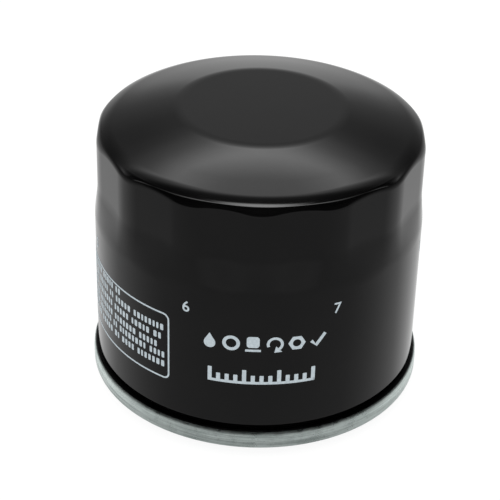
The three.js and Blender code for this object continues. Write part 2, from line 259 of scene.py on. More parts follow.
def prism_faces(count):
    """The faces of a prism: count points at one end, then the same points at the other."""
    sides = [(i, (i + 1) % count, count + (i + 1) % count, count + i) for i in range(count)]
    return [*sides, tuple(range(count))[::-1], tuple(range(count, 2 * count))]


def mesh_object(name, spots, faces, normals=None):
    mesh = bpy.data.meshes.new(name)
    mesh.from_pydata(spots, [], faces)
    mesh.shade_smooth()
    if normals is not None:
        mesh.normals_split_custom_set_from_vertices(normals)
    thing = bpy.data.objects.new(name, mesh)
    bpy.context.scene.collection.objects.link(thing)
    return thing


def applied(thing):
    """Bake the piece's modifiers into its mesh."""
    graph = bpy.context.evaluated_depsgraph_get()
    thing.data = bpy.data.meshes.new_from_object(thing.evaluated_get(graph), depsgraph=graph)
    thing.modifiers.clear()
    return thing


def carved(thing, cutters):
    """Cut holes, then shade flats flat and rounds round."""
    for cutter in cutters:
        cut = thing.modifiers.new("cut", "BOOLEAN")
        cut.object = cutter
        cut.solver = "EXACT"
    applied(thing)
    for cutter in cutters:
        bpy.data.objects.remove(cutter)
    thing.data.set_sharp_from_angle(angle=math.radians(32))
    weigh = thing.modifiers.new("weigh", "WEIGHTED_NORMAL")
    weigh.keep_sharp = True
    return applied(thing)


def finished(thing, material, slot, body, *nodes):
    """Give a piece its material, its body and the CAD nodes it stands for."""
    thing.data.materials.clear()
    thing.data.materials.append(material)
    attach(thing, body)
    if nodes:
        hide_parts(*nodes)
    return thing


# ---------------------------------------------------------------------------- materials


class Shader:
    """A Principled material and short ways to add nodes to it."""

    def __init__(self, name, **sockets):
        self.material = bpy.data.materials.new(name)
        self.material.use_nodes = True
        self.tree = self.material.node_tree
        self.principled = self.tree.nodes["Principled BSDF"]
        for socket, value in sockets.items():
            self.principled.inputs[socket.replace("_", " ")].default_value = value

    def node(self, kind, inputs=(), **settings):
        made = self.tree.nodes.new(kind)
        for key, value in settings.items():
            setattr(made, key, value)
        for key, value in dict(inputs).items():
            if isinstance(value, bpy.types.NodeSocket):
                self.tree.links.new(value, made.inputs[key])
            else:
                made.inputs[key].default_value = value
        return made

    def place(self, scale=(1, 1, 1)):
        """Object coordinates in millimetres, stretched by scale."""
        coordinates = self.node("ShaderNodeTexCoord")
        scales = [s / MM for s in scale]
        source = {"Vector": coordinates.outputs["Object"], "Scale": scales}
        return self.node("ShaderNodeMapping", source).outputs["Vector"]

    def round_place(self, across, along):
        """Coordinates that run along circles about the axis: across them and slowly along."""
        split = self.node("ShaderNodeSeparateXYZ", {0: self.place()})
        x, y, z = split.outputs
        squares = [self.math("MULTIPLY", v, v) for v in (x, y)]
        radius = self.math("SQRT", self.math("ADD", *squares), 0)
        angle = self.math("ARCTAN2", x, y)
        parts = {
            "X": self.math("MULTIPLY", radius, across),
            "Y": self.math("MULTIPLY", angle, along),
            "Z": self.math("MULTIPLY", z, across),
        }
        return self.node("ShaderNodeCombineXYZ", parts).outputs["Vector"]

    def math(self, operation, a, b):
        return self.node("ShaderNodeMath", {0: a, 1: b}, operation=operation).outputs[0]

    def noise(self, place, scale, detail=3.0, roughness=0.5):
        source = {"Vector": place, "Scale": scale, "Detail": detail, "Roughness": roughness}
        return self.node("ShaderNodeTexNoise", source).outputs["Fac"]

    def spread(self, source, low_value, high_value, start=0.3, end=0.7):
        values = {"Value": source, "From Min": start, "From Max": end}
        values.update({"To Min": low_value, "To Max": high_value})
        return self.node("ShaderNodeMapRange", values).outputs["Result"]

    def blend(self, source, first, second, start=0.3, end=0.7):
        made = self.node("ShaderNodeValToRGB", {"Fac": source})
        ramp = made.color_ramp
        ramp.elements[0].position, ramp.elements[1].position = start, end
        ramp.elements[0].color = (*first, 1)
        ramp.elements[1].color = (*second, 1)
        return made.outputs["Color"]

    def bump(self, source, height, strength=1.0, under=None):
        """height is the bump's real depth in millimetres; under is a coarser bump's normal."""
        values = {"Height": source, "Distance": height * MM, "Strength": strength}
        if under is not None:
            values["Normal"] = under
        normal = self.node("ShaderNodeBump", values).outputs["Normal"]
        self.tree.links.new(normal, self.principled.inputs["Normal"])
        return normal

    def colour(self, source):
        self.tree.links.new(source, self.principled.inputs["Base Color"])

    def roughness(self, source):
        self.tree.links.new(source, self.principled.inputs["Roughness"])


def gloss_black_paint():
    """Stoved black enamel: a smooth gloss with a faint orange peel."""
    paint = Shader("gloss_black_paint", IOR=1.42)
    place = paint.place()
    cloud = paint.noise(place, 0.12, 2.0)
    paint.colour(paint.blend(cloud, (0.0009, 0.0009, 0.001), (0.0016, 0.0015, 0.0015)))
    paint.roughness(paint.spread(paint.noise(place, 0.35, 4.0), 0.06, 0.095))
    paint.bump(paint.noise(place, 0.9, 1.0), 0.004, 0.35)
    return paint.material


def zinc_plate(name, painted_seam_shade=False):
    """Zinc-plated sheet, with the fine lines that the seaming roll leaves round it.

    With the flag set, the seam's top ledge is painted black as shade, where it sits in the
    crevice under the can's wall, and the seam's lower half is painted a little darker than
    its upper half as shade.
    """
    zinc = Shader(name, Metallic=0.95)
    lines = zinc.noise(zinc.round_place(3.2, 3.0), 1.0, 5.0, 0.65)
    scuffs = zinc.noise(zinc.place(), 0.45, 5.0, 0.65)
    worn = zinc.math("ADD", zinc.math("MULTIPLY", lines, 0.6), zinc.math("MULTIPLY", scuffs, 0.4))
    bare = zinc.blend(worn, (0.51, 0.585, 0.565), (0.89, 0.99, 0.96), 0.4, 0.57)
    if painted_seam_shade:
        up = zinc.node("ShaderNodeSeparateXYZ", {0: zinc.place()}).outputs["Z"]
        # Painted shade: the seam's top ledge turns black, as the crevice under the can's wall.
        below = zinc.spread(up, 1, 0, SEAM_TOP - 0.62, SEAM_TOP - 0.2)
        # Painted shade: the seam's lower half is darker than its upper half.
        painted_lower_shade = zinc.spread(up, 0.82, 1, SEAM_BOTTOM + 1.5, SEAM_BOTTOM + 2.0)
        shown = {0: bare, "Scale": zinc.math("MULTIPLY", painted_lower_shade, below)}
        bare = zinc.node("ShaderNodeVectorMath", shown, operation="SCALE").outputs[0]
    zinc.colour(bare)
    zinc.roughness(zinc.spread(scuffs, 0.2, 0.5, 0.36, 0.6))
    dents = zinc.bump(scuffs, 0.12, 0.6)
    zinc.bump(lines, 0.08, 0.9, dents)
    return zinc.material


def stamped_steel():
    """Bare pressed steel with a film of oil: soft marks from the press, a little tarnish."""
    steel = Shader("stamped_steel", Metallic=1.0)
    place = steel.place()
    marks = steel.noise(steel.place((0.4, 2.4, 0.4)), 1.2, 5.0, 0.6)
    cloud = steel.noise(place, 0.18, 5.0, 0.6)
    steel.colour(steel.blend(cloud, (0.34, 0.33, 0.31), (0.50, 0.50, 0.49)))
    steel.roughness(steel.spread(marks, 0.28, 0.46))
    steel.bump(marks, 0.012, 0.4)
    return steel.material


def tinplate():
    """Tin-plated sheet: brighter and softer than the bare steel, with a mottled spangle."""
    tin = Shader("tinplate", Metallic=1.0)
    source = {"Vector": tin.place(), "Scale": 0.55}
    spangle = tin.node("ShaderNodeTexVoronoi", source).outputs["Color"]
    grain = tin.noise(tin.round_place(3.0, 3.0), 1.0, 4.0, 0.6)
    tin.colour(tin.blend(spangle, (0.55, 0.54, 0.50), (0.68, 0.67, 0.63), 0.1, 0.9))
    tin.roughness(tin.spread(grain, 0.3, 0.44))
    tin.bump(grain, 0.01, 0.35)
    return tin.material


def spring_wire():
    """Oil-tempered wire, dark, with drawing marks along it and worn bright high spots."""
    wire = Shader("spring_wire", Metallic=1.0)
    drawn = wire.noise(wire.round_place(7.0, 1.0), 1.0, 4.0, 0.6)
    cloud = wire.noise(wire.place(), 0.4, 4.0)
    wire.colour(wire.blend(cloud, (0.13, 0.13, 0.14), (0.27, 0.27, 0.28)))
    wire.roughness(wire.spread(drawn, 0.26, 0.42))
    wire.bump(drawn, 0.012, 0.5)
    return wire.material


def rubber(name, dark, light):
    """Moulded rubber: a satin skin with a fine grain and a faint bloom."""
    soft = Shader(name, IOR=1.5)
    place = soft.place()
    soft.colour(soft.blend(soft.noise(place, 0.5, 5.0), dark, light))
    soft.roughness(soft.spread(soft.noise(place, 1.4, 3.0), 0.42, 0.62))
    soft.bump(soft.noise(place, 7.0, 2.0), 0.01, 0.4)
    return soft.material


def seam_compound():
    paste = Shader("seam_compound")
    place = paste.place()
    paste.colour(paste.blend(paste.noise(place, 0.7, 5.0), (0.33, 0.27, 0.17), (0.5, 0.43, 0.3)))
    paste.roughness(paste.spread(paste.noise(place, 1.1, 3.0), 0.5, 0.7))
    paste.bump(paste.noise(place, 2.2, 3.0), 0.05, 0.6)
    return paste.material


def potting_adhesive():
    """Plastisol, poured and cured: glossy, unevenly mixed, with small pits."""
    pour = Shader("potting_adhesive", IOR=1.5)
    place = pour.place()
    pour.colour(pour.blend(pour.noise(place, 0.4, 5.0), (0.30, 0.09, 0.05), (0.44, 0.15, 0.09)))
    pour.roughness(pour.spread(pour.noise(place, 0.9, 3.0), 0.22, 0.5))
    swell = pour.bump(pour.noise(place, 0.5, 2.0), 0.15, 0.6)
    pour.bump(pour.noise(place, 4.0, 2.0), 0.03, 0.4, swell)
    return pour.material


def filter_paper():
    """Resin-treated cellulose: matted fibres, pressed with fine grooves down each pleat."""
    paper = Shader("filter_paper", Roughness=0.85)
    fibres = paper.noise(paper.place((1.0, 1.0, 0.35)), 2.6, 6.0, 0.7)
    cloud = paper.noise(paper.place(), 0.25, 4.0)
    grooves = paper.node("ShaderNodeTexWave", {"Vector": paper.place(), "Scale": 0.32})
    grooves.bands_direction = "Z"
    mixed = paper.math("MULTIPLY", cloud, paper.spread(fibres, 0.7, 1.2))
    paper.colour(paper.blend(mixed, (0.50, 0.37, 0.17), (0.80, 0.68, 0.42), 0.3, 0.62))
    ribs = paper.bump(grooves.outputs["Fac"], 0.1, 0.5)
    paper.bump(fibres, 0.06, 0.6, ribs)
    return paper.material


def print_ink():
    """Pale screen-printed ink, slightly thin in places."""
    ink = Shader("print_ink", Roughness=0.5)
    thin = ink.noise(ink.place(), 2.2, 4.0)
    ink.colour(ink.blend(thin, (0.38, 0.44, 0.475), (0.49, 0.56, 0.595)))
    return ink.material


PAINT = gloss_black_paint()
ZINC = zinc_plate("zinc_plate")
SEAM_ZINC = zinc_plate("zinc_seam", painted_seam_shade=True)
STEEL = stamped_steel()
TIN = tinplate()
WIRE = spring_wire()
NITRILE = rubber("nitrile_rubber", (0.012, 0.012, 0.013), (0.024, 0.024, 0.025))
SILICONE = rubber("silicone_rubber", (0.36, 0.075, 0.03), (0.50, 0.12, 0.055))
COMPOUND = seam_compound()
POTTING = potting_adhesive()
PAPER = filter_paper()
INK = print_ink()

# ---------------------------------------------------------------------------- outer can

PLATEAU_EDGE = 16.4
UPPER_SLOPE = math.tan(math.radians(12.8))
LOWER_SLOPE = math.tan(math.radians(15.8))
SHOULDER_SLOPE = math.tan(math.radians(30))
DOME_KNEE = (22, CAN_TOP - (22 - PLATEAU_EDGE) * UPPER_SLOPE)
SHOULDER_BEND = (30.2, DOME_KNEE[1] - (30.2 - DOME_KNEE[0]) * LOWER_SLOPE)

# The roll from the wall into the shoulder ends at this radius all the way round.
SHOULDER_END = 31.45


def flat_radius(angle):
    """The radius of a 14-sided outline with rounded ridges; a ridge lies at angle 0."""
    half = math.pi / FLATS
    turn = abs((angle % (2 * half)) - half)
    centre = (FLAT_APOTHEM - RIDGE_ROUNDING) / math.cos(half)
    tangent = math.atan2(centre * math.sin(half), FLAT_APOTHEM)
    if turn <= tangent:
        return FLAT_APOTHEM / math.cos(turn)
    off = half - turn
    return centre * math.cos(off) + math.sqrt(RIDGE_ROUNDING**2 - (centre * math.sin(off)) ** 2)


def can_outline(angle):
    """The dome is round; the wall below it has flats, and rolls into the dome tightly on a
    flat and softly on a ridge."""
    wall = flat_radius(angle)
    corner = SHOULDER_BEND[1] - (wall - SHOULDER_BEND[0]) * SHOULDER_SLOPE
    path = [
        (HOOK_RADIUS, SEAM_TOP - 1.05),
        (HOOK_RADIUS, FLANGE + SHEET, 0.1, 3),
        (NECK_RADIUS, FLANGE + SHEET, 0.1, 3),
        (NECK_RADIUS, SEAM_TOP + 0.3, 0.7, 5),
        (CAN_RADIUS, SEAM_TOP + 1.05, 0.8, 5),
        (CAN_RADIUS, FLAT_START, 20, 6),
        (wall, FLAT_FULL, 20, 6),
        (wall, corner, 2 * (wall - SHOULDER_END), 14),
        (*SHOULDER_BEND, 9, 6),
        (*DOME_KNEE, 150, 4),
        (PLATEAU_EDGE, CAN_TOP, 10, 8),
        (0, CAN_TOP),
    ]
    return pressed(path)


finished(revolve("can_shell", can_outline, 24 * FLATS), PAINT, "can_paint", "can", "outer_can")

# ------------------------------------------------------------------------ cover and seam

COVER = SEAM_BOTTOM + 2.65
COVER_HOLE = 22
CHUCK_WALL = NECK_RADIUS - SHEET - GAP
BEAD_RADIUS = 25.8


def seaming_lid():
    hook = HOOK_RADIUS - GAP - SHEET
    path = [
        (COVER_HOLE, COVER),
        (BEAD_RADIUS - 1.1, COVER, 0.5),
        (BEAD_RADIUS - 0.35, COVER - 1.45, 0.55),
        (BEAD_RADIUS + 0.35, COVER - 1.45, 0.55),
        (BEAD_RADIUS + 1.1, COVER, 0.5),
        (CHUCK_WALL - SHEET, COVER, 0.3),
        (CHUCK_WALL - SHEET, SEAM_BOTTOM, 0.6),
        (SEAM_RADIUS - 0.05, SEAM_BOTTOM, 0.45),
        (SEAM_RADIUS, SEAM_BOTTOM + 2.1, 8),
        (SEAM_RADIUS - 0.15, SEAM_TOP, 1.0, 7),
        (hook, SEAM_TOP, 0.4),
        (hook, FLANGE + 2 * SHEET),
    ]
    return revolve("seam_cover", pressed(path), 224)


finished(seaming_lid(), SEAM_ZINC, "zinc_plate", "can", "seaming_lid")

sealant_low, sealant_high = low("seam_sealant"), high("seam_sealant")
sealant_outline = [
    (CHUCK_WALL + 0.3, sealant_low, 0.12),
    (HOOK_RADIUS + 0.3, sealant_low, 0.12),
    (HOOK_RADIUS + 0.3, sealant_high, 0.12),
    (CHUCK_WALL + 0.3, sealant_high, 0.12),
]
sealant = turned("seam_filler", sealant_outline, 160)
finished(sealant, COMPOUND, "seam_compound", "can", "seam_sealant")

GASKET_INNER, GASKET_OUTER = 27, 31.1
gasket_top = high("sealing_gasket")
gasket_outline = [
    (GASKET_INNER, 0, 0.6),
    (GASKET_INNER + 1.9, 0, 2),
    (GASKET_OUTER - 1.9, 0.06, 2),
    (GASKET_OUTER, 0, 0.6),
    (GASKET_OUTER, gasket_top, 0.2),
    (GASKET_INNER, gasket_top, 0.2),
]
gasket = turned("gasket_ring", gasket_outline, 160)
finished(gasket, NITRILE, "nitrile_rubber", "can", "sealing_gasket")

# ------------------------------------------------------------------------- tapping plate

PLATE_RADIUS = 31
HUB_RADIUS = 12.2
INLET_CIRCLE = 17.5
INLET_RADIUS = 2.75
INLET_CHAMFER = 0.4


def thread_radius(z, angle):
    """The bore of an M20 x 1.5 nut, with a lead-in at each end.

    In pitches, a crest is 0.25 wide, a root 0.125 and a flank 0.3125.
    """
    phase = ((z - PLATE_BOTTOM) / THREAD_PITCH - angle / (2 * math.pi)) % 1
    groove = min(max((0.375 - abs(phase - 0.5)) / 0.3125, 0), 1)
    depth_in = min(z - PLATE_BOTTOM, HUB_TOP - z)
    return THREAD_MINOR + max(groove * THREAD_DEPTH, LEAD_IN - depth_in)


def plate_outline(angle):
    mouth = THREAD_MINOR + LEAD_IN
    corners = [
        (mouth, PLATE_BOTTOM),
        (PLATE_RADIUS, PLATE_BOTTOM, 0.4),
        (PLATE_RADIUS, PLATE_TOP, 0.7),
        (HUB_RADIUS + 1.6, PLATE_TOP, 1.0),
        (HUB_RADIUS, PLATE_TOP + 1.6, 1.0),
        (HUB_RADIUS, HUB_TOP, 0.4),
        (mouth, HUB_TOP),
    ]
    outer = rounded(corners, closed=False)
    steps = 54
    rise = (HUB_TOP - PLATE_BOTTOM) / steps
    bore = []
    for i in range(steps + 1):
        z = HUB_TOP - rise * i
        bore.append((thread_radius(z, angle), z, -1, 0))
    return outer[1:-1] + bore


def inlet_cutter(angle):
    """A drill with a chamfer for both rims of the hole, a little longer than the hole."""
    thickness = PLATE_TOP - PLATE_BOTTOM
    rim = INLET_RADIUS + INLET_CHAMFER
    sides = [
        (0, 0),
        (rim, 0),
        (INLET_RADIUS, INLET_CHAMFER),
        (INLET_RADIUS, thickness - INLET_CHAMFER),
        (rim, thickness),
        (0, thickness),
    ]
    points = [(r, PLATE_BOTTOM + z + (z - thickness / 2) * 0.05, 0, 1) for r, z in sides]
    tool = revolve("inlet_cutter", points, 40)
    tool.location = at(INLET_CIRCLE, 0, angle) * MM
    return tool


def tapping_plate():
    plate = revolve("threaded_plate", plate_outline, 120)
    return carved(plate, [inlet_cutter(2 * math.pi * i / INLETS) for i in range(INLETS)])


finished(tapping_plate(), STEEL, "bare_steel", "can", "tapping_plate")

# --------------------------------------------------------------------- drainback valve

LIP = low("anti_drainback_valve")
LIP_RADIUS = 23.4
COLLAR = 12.45
COLLAR_TOP = high("anti_drainback_valve")
valve_outline = [
    (COLLAR, LIP + 1.7, 0.2),
    (COLLAR + 1.7, LIP + 1.6, 1.2),
    (LIP_RADIUS - 1.8, LIP, 1.5),
    (LIP_RADIUS, LIP, 0.35),
    (LIP_RADIUS, LIP + 0.8, 0.35),
    (LIP_RADIUS - 1.6, LIP + 0.9, 1.5),
    (COLLAR + 2.1, LIP + 2.5, 1.0),
    (COLLAR + 1.2, COLLAR_TOP, 0.35),
    (COLLAR, COLLAR_TOP, 0.35),
]
diaphragm = turned("drainback_diaphragm", valve_outline)
finished(diaphragm, SILICONE, "silicone_rubber", "drainback_valve", "anti_drainback_valve")

# ---------------------------------------------------------------------- filter element

CAP_HOLE = 12.5
CAP_WALL = 3
CAP_COLLAR = 2.5
lower_path = [
    (CAP_HOLE, ELEMENT_BOTTOM + CAP_COLLAR),
    (CAP_HOLE, ELEMENT_BOTTOM, 0.7),
    (CAP_RADIUS, ELEMENT_BOTTOM, 0.8),
    (CAP_RADIUS, ELEMENT_BOTTOM + CAP_WALL),
]
upper_path = [
    (CAP_RADIUS, ELEMENT_TOP - CAP_WALL),
    (CAP_RADIUS, ELEMENT_TOP, 0.8),
    (CAP_HOLE, ELEMENT_TOP, 0.7),
    (CAP_HOLE, ELEMENT_TOP - CAP_COLLAR),
]
lower_cap = revolve("element_base", pressed(lower_path), 160)
finished(lower_cap, TIN, "tinned_steel", "filter_element", "lower_end_cap")
upper_cap = revolve("element_crown", pressed(upper_path), 160)
finished(upper_cap, TIN, "tinned_steel", "filter_element", "upper_end_cap")

TUBE_INNER, TUBE_OUTER = 13.1, 13.7
TUBE_BOTTOM, TUBE_TOP = low("center_tube"), high("center_tube")
PERFORATION_ROWS, PERFORATION_DRILLS = 4, 4
PERFORATION_RADIUS = 2.1
DRILL_REACH = 16


def drill(z, angle):
    """A round cutter along the tube's diameter at this height and angle."""
    outline = [
        (0, -DRILL_REACH, 0, -1),
        (PERFORATION_RADIUS, -DRILL_REACH, 1, 0),
        (PERFORATION_RADIUS, DRILL_REACH, 1, 0),
        (0, DRILL_REACH, 0, 1),
    ]
    tool = revolve("drill", outline, 28)
    lay = Matrix.Rotation(math.pi / 2, 4, "X")
    tool.matrix_world = Matrix.Translation((0, 0, z * MM)) @ Matrix.Rotation(angle, 4, "Z") @ lay
    return tool


def center_tube():
    corners = [
        (TUBE_INNER, TUBE_BOTTOM, 0.1),
        (TUBE_OUTER, TUBE_BOTTOM, 0.1),
        (TUBE_OUTER, TUBE_TOP, 0.1),
        (TUBE_INNER, TUBE_TOP, 0.1),
    ]
    tube = turned("perforated_tube", corners)
    drills = []
    for row in range(PERFORATION_ROWS):
        z = TUBE_BOTTOM + (TUBE_TOP - TUBE_BOTTOM) * (row + 1) / (PERFORATION_ROWS + 1)
        for i in range(PERFORATION_DRILLS):
            turn = math.pi * (i + row % 2 / 2) / PERFORATION_DRILLS
            drills.append(drill(z, math.pi / 2 + turn))
    bpy.context.view_layer.update()
    return carved(tube, drills)


finished(center_tube(), TIN, "tinned_steel", "filter_element", "center_tube")

POTTING_INNER, POTTING_OUTER = 13.85, 28.4

for node, name in (("lower_adhesive", "lower_potting"), ("upper_adhesive", "upper_potting")):
    corners = [
        (POTTING_INNER, low(node), 0.2),
        (POTTING_OUTER, low(node), 0.2),
        (POTTING_OUTER, high(node), 0.25),
        (POTTING_INNER, high(node), 0.25),
    ]
    finished(turned(name, corners), POTTING, "potting_adhesive", "filter_element", node)

PAPER_THICKNESS = 0.5

# Where the paper's outer and inner folds end, and their bend radius at mid-thickness.
OUTER_FOLD = (27.6, 0.6)
INNER_FOLD = (14.0, 0.35)


def folded_loop(side):
    """One face of the paper as (spot, normal) pairs: arcs round the folds, straight between.

    side is +1 for the face towards the can and -1 for the face towards the tube.
    """
    half = PAPER_THICKNESS / 2
    outer_centre = OUTER_FOLD[0] - half - OUTER_FOLD[1]
    inner_centre = INNER_FOLD[0] + half + INNER_FOLD[1]
    step = math.pi / PLEATS
    outer_spot = Vector((0, outer_centre))
    inner_spot = Vector((inner_centre * math.sin(step), inner_centre * math.cos(step)))
    between = inner_spot - outer_spot
    lean = math.atan2(between.x, -between.y)
    lean += math.asin((OUTER_FOLD[1] + INNER_FOLD[1]) / between.length)
    sweep = math.pi / 2 - lean
    points = []
    for fold in range(2 * PLEATS):
        outward = fold % 2 == 0
        centre = outer_centre if outward else inner_centre
        size = OUTER_FOLD[1] + side * half if outward else INNER_FOLD[1] - side * half
        facing = 1 if outward else -1
        angle = step * fold
        middle = at(centre, 0, angle)
        for k in range(7):
            heading = angle + sweep * (k / 3 - 1) * facing
            normal = at(1, 0, heading) * facing
            points.append((middle + normal * size, normal * facing * side))
    return points


def pleated_media():
    bottom, top = low("pleated_media"), high("pleated_media")
    loops = [folded_loop(1), folded_loop(-1)]
    count = len(loops[0])
    spots, normals, faces = [], [], []
    for loop in loops:
        for z in (bottom, top):
            spots += [Vector((p.x, p.y, z)) * MM for p, _ in loop]
            normals += [n for _, n in loop]
    for i in range(count):
        j = (i + 1) % count
        a, b, c, d = (k * count for k in range(4))
        faces.append((a + i, a + j, b + j, b + i))
        faces.append((c + j, c + i, d + i, d + j))
    for z in (-1, 1):
        first = len(spots)
        for loop in loops:
            spots += [Vector((p.x, p.y, bottom if z < 0 else top)) * MM for p, _ in loop]
            normals += [Vector((0, 0, z))] * count
        for i in range(count):
            j = (i + 1) % count
            quad = (first + i, first + j, first + count + j, first + count + i)
            faces.append(quad if z > 0 else quad[::-1])
    return mesh_object("pleated_paper", spots, faces, normals)


finished(pleated_media(), PAPER, "filter_paper", "filter_element", "pleated_media")


def media_seam_clip():
    """The strip folded over the pleat where the two ends of the paper meet."""
    slot, wall, depth = 0.65, 0.3, 3.0
    back = -(OUTER_FOLD[0] + 0.15 + wall)
    path = [
        (-slot - wall, back + depth),
        (-slot - wall, back, 0.45),
        (slot + wall, back, 0.45),
        (slot + wall, back + depth),
    ]
    outline = pressed(path, wall)
    bottom, top = low("media_seam_clip"), high("media_seam_clip")
    spots = [Vector((x, y, z)) * MM for z in (bottom, top) for x, y, _, _ in outline]
    clip = mesh_object("paper_seam_clip", spots, prism_faces(len(outline)))
    clip.data.set_sharp_from_angle(angle=math.radians(40))
    return clip


finished(media_seam_clip(), ZINC, "zinc_plate", "filter_element", "media_seam_clip")

# ---------------------------------------------------------------------- bypass valve

SEAT_HOLE, SEAT_RADIUS = 5.5, 14.5
CAGE_RADIUS = 10.45
CAGE_FLANGE_RADIUS = 15.5
CAGE_FLANGE = high("bypass_valve_cage") - SHEET
STEM = 1.2
PACKING_BOTTOM, PACKING_TOP = low("bypass_packing"), high("bypass_packing")
POPPET_TOP = high("bypass_poppet")
POPPET_RADIUS = 9.0

seat_bottom = low("bypass_seat_plate")
seat_flat = seat_bottom + 0.35
seat_outline = [
    (SEAT_HOLE, seat_flat, 0.1),
    (SEAT_HOLE + 0.5, seat_bottom, 0.15),
    (SEAT_HOLE + 1.1, seat_bottom, 0.15),
    (SEAT_HOLE + 1.6, seat_flat, 0.1),
    (SEAT_RADIUS, seat_flat, 0.2),
    (SEAT_RADIUS, SEAT_TOP, 0.25),
    (SEAT_HOLE, SEAT_TOP, 0.25),
]
seat = turned("bypass_seat", seat_outline)
finished(seat, STEEL, "bare_steel", "filter_element", "bypass_seat_plate")


def window_cutter(turn):
    """A bar with rounded edges that cuts two opposite windows of the cage."""
    half, bottom, top = 3.5, CAGE_BOTTOM + 3, CAGE_BOTTOM + 8
    corners = [(-half, bottom, 0.8), (half, bottom, 0.8), (half, top, 0.8), (-half, top, 0.8)]
    outline = rounded(corners)
    ends = (-2 * CAGE_RADIUS, 2 * CAGE_RADIUS)
    spots = [Vector((x, y, z)) * MM for x in ends for y, z, _, _ in outline]
    cutter = mesh_object("window_cutter", spots, prism_faces(len(outline)))
    cutter.rotation_euler.z = turn
    return cutter


def bypass_cage():
    path = [
        (STEM + 0.5, CAGE_BOTTOM),
        (CAGE_RADIUS, CAGE_BOTTOM, 1.1),
        (CAGE_RADIUS, CAGE_FLANGE, 0.15),
        (CAGE_FLANGE_RADIUS, CAGE_FLANGE),
    ]
    cage = revolve("spring_cage", pressed(path))
    cutters = [window_cutter(0), window_cutter(math.pi / 2)]
    bpy.context.view_layer.update()
    return carved(cage, cutters)


finished(bypass_cage(), STEEL, "bare_steel", "filter_element", "bypass_valve_cage")

poppet_path = [
    (POPPET_RADIUS, low("bypass_poppet")),
    (POPPET_RADIUS, POPPET_TOP, 0.6),
    (STEM + 0.15, POPPET_TOP),
]
poppet = revolve("valve_disc", pressed(poppet_path, 0.5), 96)
finished(poppet, STEEL, "bare_steel", "bypass_valve", "bypass_poppet")

packing_outline = [
    (STEM + 0.15, PACKING_BOTTOM, 0.1),
    (POPPET_RADIUS - 0.4, PACKING_BOTTOM, 0.25),
    (POPPET_RADIUS - 0.4, PACKING_TOP, 0.25),
    (STEM + 0.15, PACKING_TOP, 0.1),
]
packing = turned("valve_packing", packing_outline, 96)
finished(packing, NITRILE, "nitrile_rubber", "bypass_valve", "bypass_packing")

rivet_tail, rivet_top = low("poppet_rivet"), high("poppet_rivet")
shoulder = POPPET_TOP - 0.6
rivet_corners = [
    (0, rivet_tail),
    (STEM - 0.3, rivet_tail, 0.1),
    (STEM, rivet_tail + 0.5, 0.3),
    (STEM, shoulder - 1.1, 0.1),
    (STEM + 1, shoulder - 1.1, 0.2),
    (STEM + 1, shoulder, 0.1),
    (STEM, shoulder, 0.1),
    (STEM, PACKING_TOP + GAP, 0.1),
    (STEM + 1.4, PACKING_TOP + GAP, 0.15),
    (STEM + 1.0, rivet_top - 0.1, 0.5),
    (0, rivet_top),
]
rivet = revolve("valve_rivet", rounded(rivet_corners, closed=False), 48)
finished(rivet, STEEL, "bare_steel", "bypass_valve", "poppet_rivet")

# --------------------------------------------------------------------------- springs


def coil(name, node, radii, turns, wire):
    """A compression spring whose end coils lie nearly flat."""
    bottom, top = low(node) + wire, high(node) - wire
    sides, steps = 16, round(turns * 40)
    path = []
    for k in range(steps + 1):
        t = k / steps
        share = 0.35 * t + 0.65 * t * t * (3 - 2 * t)
        radius = radii[0] + (radii[1] - radii[0]) * share
        z = bottom + (top - bottom) * share
        path.append(at(radius, z, math.pi / 2 + 2 * math.pi * turns * t))
    spots, normals, faces = [], [], []
    for k, centre in enumerate(path):
        along = (path[min(k + 1, steps)] - path[max(k - 1, 0)]).normalized()
        out = Vector((centre.x, centre.y, 0)).normalized()
        side = along.cross(out).normalized()
        out = side.cross(along)
        shrink = 0.8 if k in (0, steps) else 1
        for s in range(sides):
            turn = 2 * math.pi * s / sides
            normal = out * math.cos(turn) + side * math.sin(turn)
            spots.append((centre + normal * wire * shrink) * MM)
            normals.append(normal)
    for k in range(steps):
        for s in range(sides):
            a, b = k * sides + s, k * sides + (s + 1) % sides
            faces.append((a, b, b + sides, a + sides))
    faces.append(tuple(range(sides))[::-1])
    faces.append(tuple(range(steps * sides, (steps + 1) * sides)))
    return mesh_object(name, spots, faces, normals)


bypass_coil = coil("poppet_spring", "bypass_spring", (6.6, 6.6), 4.5, 0.55)
finished(bypass_coil, WIRE, "spring_steel", "filter_element", "bypass_spring")
hold_down = coil("element_spring", "hold_down_spring", (12.6, 10.6), 3, 0.8)
finished(hold_down, WIRE, "spring_steel", "can", "hold_down_spring")


def soft(thing, node, joint, travel, from_top):
    """Give the piece a mesh of its own, shared with no other piece."""
    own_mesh(thing)


soft(hold_down, "hold_down_spring", "element_float", 1.2, True)
soft(bypass_coil, "bypass_spring", "bypass_open", 3.0, False)
soft(diaphragm, "anti_drainback_valve", "drainback_lift", 1.2, False)

# ----------------------------------------------------------------------------- print

PRINT_HEIGHT, PRINT_DEPTH = 0.03, 0.02
BEND_STEP = 0.8
BEND_COLUMNS = 130


def rectangle(x, y, width, height, fillet=0.15):
    """A filled rectangle centred on (x, y)."""
    w, h = width / 2, height / 2
    corners = [(-w, -h, fillet), (w, -h, fillet), (w, h, fillet), (-w, h, fillet)]
    return [[(x + p[0], y + p[1]) for p in rounded(corners)]]


def loop_band(outer, inner):
    """Faces between two loops with equally many points."""
    count = len(outer)
    faces = []
    for i in range(count):
        j = (i + 1) % count
        faces.append([outer[i], outer[j], inner[j], inner[i]])
    return faces


def circle(x, y, radius, sides=32):
    turns = [2 * math.pi * i / sides for i in range(sides)]
    return [(x + radius * math.cos(a), y + radius * math.sin(a)) for a in turns]


def gasket_mark(x, y, size):
    return loop_band(circle(x, y, size * 0.5), circle(x, y, size * 0.3))


